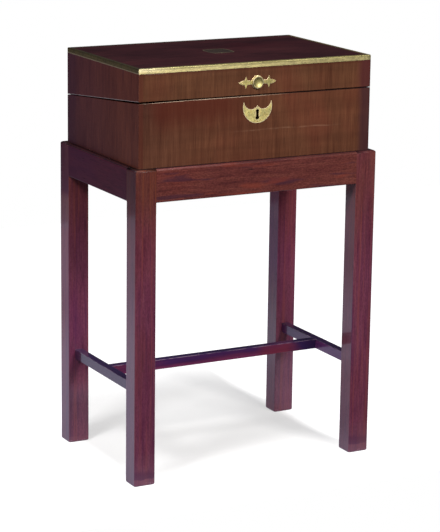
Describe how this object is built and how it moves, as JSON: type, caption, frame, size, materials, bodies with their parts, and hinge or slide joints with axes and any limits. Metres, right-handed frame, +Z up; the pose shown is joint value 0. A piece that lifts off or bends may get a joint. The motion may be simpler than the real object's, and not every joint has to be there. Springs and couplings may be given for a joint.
{
  "type": "lap desk",
  "caption": "Brass-edged mahogany writing box whose lid opens half a turn to a leather writing slope, standing in the rebated top of an open straight-legged stand with stretchers.",
  "frame": {"origin": "on the floor, midway between the legs both ways", "axes": "+Z up; -Y towards the front with the keyhole; +X to the right seen from the front"},
  "size_m": [0.52, 0.34, 0.7998],
  "materials": {
    "stand_mahogany": "french polished",
    "box_mahogany": "polished veneer",
    "inner_wood": "waxed",
    "brass": "worn polish",
    "steel": "dull",
    "leather": "skiver",
    "hinge_cloth": "linen",
    "glass": "clear"
  },
  "bodies": {
    "stand": {"leg_back_left": "stand_mahogany", "leg_back_right": "stand_mahogany", "leg_front_left": "stand_mahogany", "leg_front_right": "stand_mahogany", "rail_back": "stand_mahogany", "rail_front": "stand_mahogany", "rail_left": "stand_mahogany", "rail_right": "stand_mahogany", "stretcher_cross": "stand_mahogany", "stretcher_left": "stand_mahogany", "stretcher_right": "stand_mahogany"},
    "box_base": {"base_back": "box_mahogany", "base_board_rests": "inner_wood", "base_bottom": "inner_wood", "base_front": "box_mahogany", "base_hinge_cloth": "hinge_cloth", "base_hinge_leaves": "brass", "base_hinge_rail": "inner_wood", "base_hinge_screws": "steel", "base_left": "box_mahogany", "base_right": "box_mahogany", "escutcheon": "brass", "escutcheon_pins": "brass", "hinge_pins": "steel", "ink_bottle_left": "glass", "ink_bottle_right": "glass", "ink_caps": "brass", "lock_case": "brass", "lock_screws": "steel", "partition": "inner_wood", "pen_tray": "inner_wood", "tray_dividers": "inner_wood", "tray_rests": "inner_wood", "well_floors": "inner_wood"},
    "lid": {"lid_front": "box_mahogany", "lid_back": "box_mahogany", "lid_left": "box_mahogany", "lid_right": "box_mahogany", "lid_top": "box_mahogany", "edge_front": "brass", "edge_back": "brass", "edge_left": "brass", "edge_right": "brass", "shield_plate": "brass", "finger_plate": "brass", "finger_boss": "brass", "boss_nut": "steel", "finger_plate_pins": "brass", "link_plate": "brass", "link_screws": "steel", "lid_hinge_leaves": "brass", "lid_hinge_screws": "steel", "lid_board_rests": "inner_wood", "lid_hinge_rail": "inner_wood", "lid_hinge_cloth": "hinge_cloth"},
    "base_flap": {"base_board": "inner_wood", "base_leather": "leather"},
    "lid_flap": {"lid_board": "inner_wood", "lid_leather": "leather"},
    "lock_bolt": {"lock_bolt": "steel"}
  },
  "joints": [
    {"name": "box_lift", "type": "slide", "parent": "stand", "child": "box_base", "axis": [0, 0, 1], "range_m": [0, 0.06]},
    {"name": "lid_hinge", "type": "hinge", "parent": "box_base", "child": "lid", "pos_m": [0, 0.1602, 0.70739], "axis": [-1, 0, 0], "range_deg": [0, 180]},
    {"name": "base_flap_hinge", "type": "hinge", "parent": "box_base", "child": "base_flap", "pos_m": [0, 0.134, 0.70882], "axis": [-1, 0, 0], "range_deg": [0, 60]},
    {"name": "lid_flap_hinge", "type": "hinge", "parent": "lid", "child": "lid_flap", "pos_m": [0, 0.134, 0.71082], "axis": [1, 0, 0], "range_deg": [0, 60]},
    {"name": "lock_bolt_slide", "type": "slide", "parent": "box_base", "child": "lock_bolt", "axis": [1, 0, 0], "range_m": [0, 0.006]}
  ],
  "couplings": [
    {"joint": "base_flap_hinge", "follows": "lid_hinge", "ratio": 0.33333},
    {"joint": "lid_flap_hinge", "follows": "lid_hinge", "ratio": 0.33333}
  ]
}
